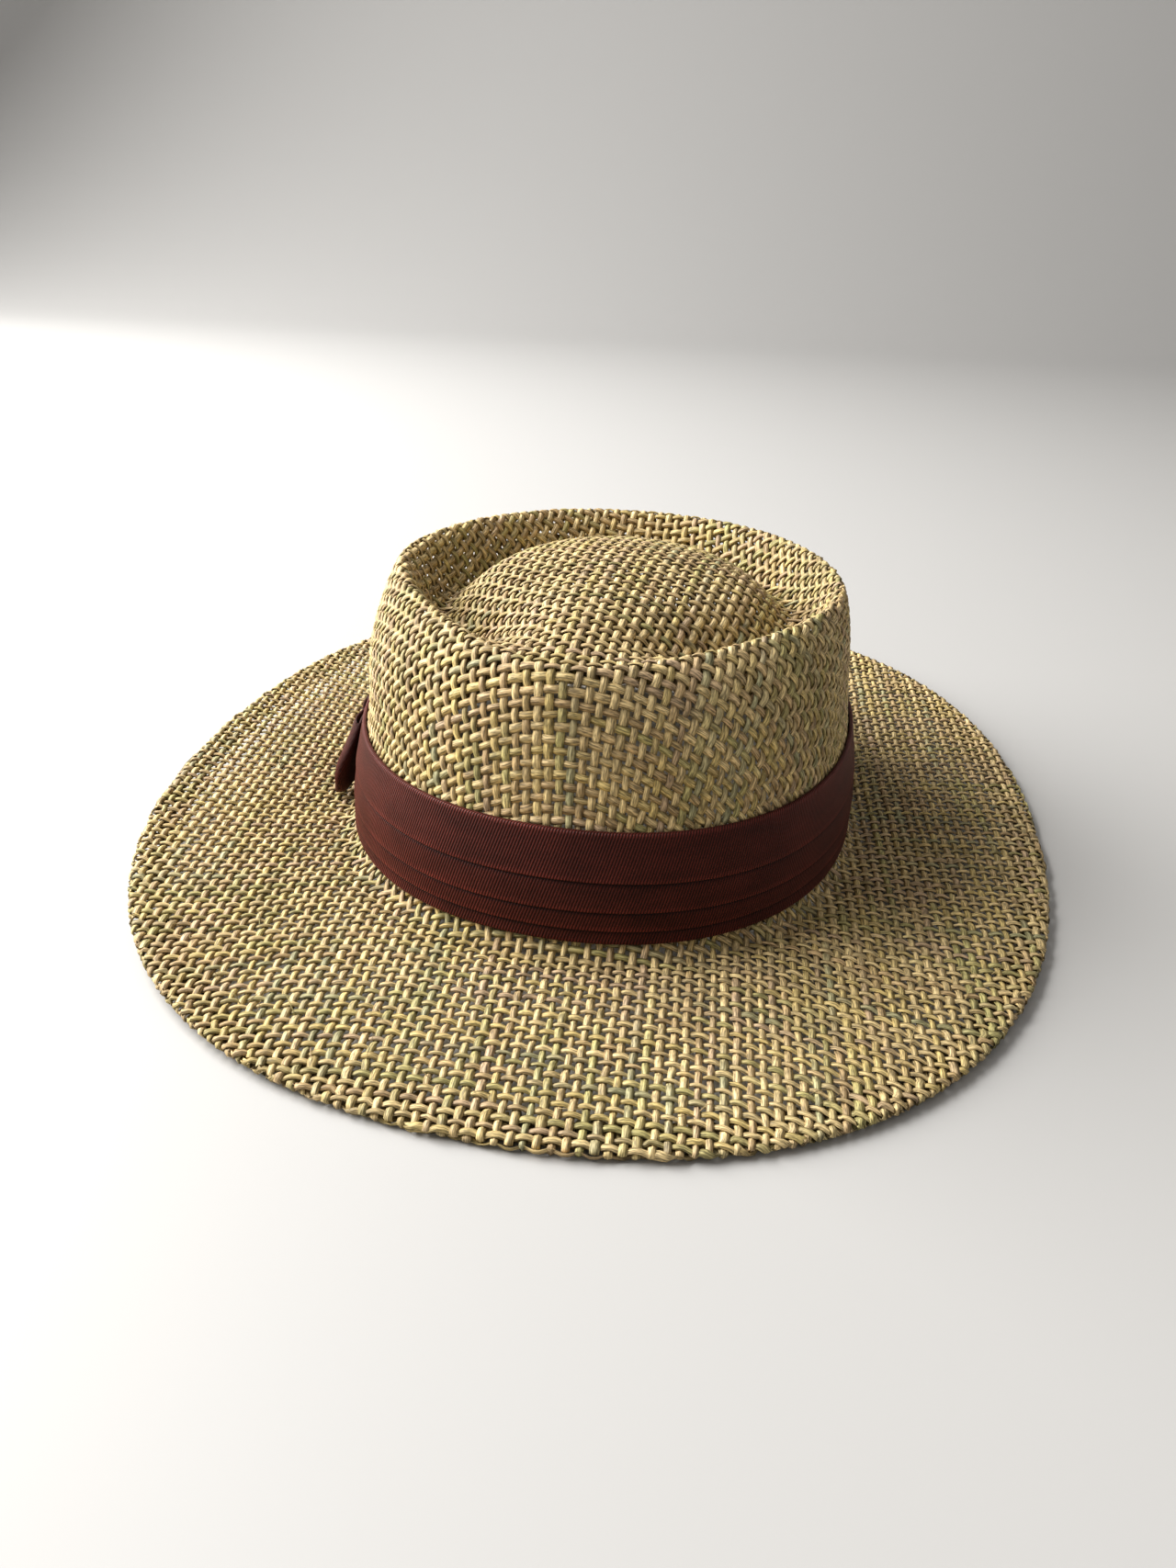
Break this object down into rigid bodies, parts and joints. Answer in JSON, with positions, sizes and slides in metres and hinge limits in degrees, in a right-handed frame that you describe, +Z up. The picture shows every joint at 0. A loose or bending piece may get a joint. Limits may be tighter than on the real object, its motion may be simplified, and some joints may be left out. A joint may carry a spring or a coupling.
{
  "type": "wide-brim straw hat",
  "caption": "Wide-brimmed woven straw hat with a teardrop crown and inner dome, folded brim edge, pleated ribbon band and flat side bow, lying as on a table.",
  "frame": {"origin": "on the table under the middle of the brim's outline", "axes": "+Z up out of the crown, -Y the front of the hat, -X the side with the bow"},
  "size_m": [0.297, 0.3612, 0.0908],
  "materials": {
    "straw": "matte woven straw strands, straw yellow with olive, blue-grey and tan",
    "ribbon": "matte ribbed ribbon, dark burgundy"
  },
  "bodies": {
    "root": {"straw_body": "straw", "ribbon_band": "ribbon", "bow_loops": "ribbon", "bow_knot": "ribbon"}
  },
  "joints": []
}
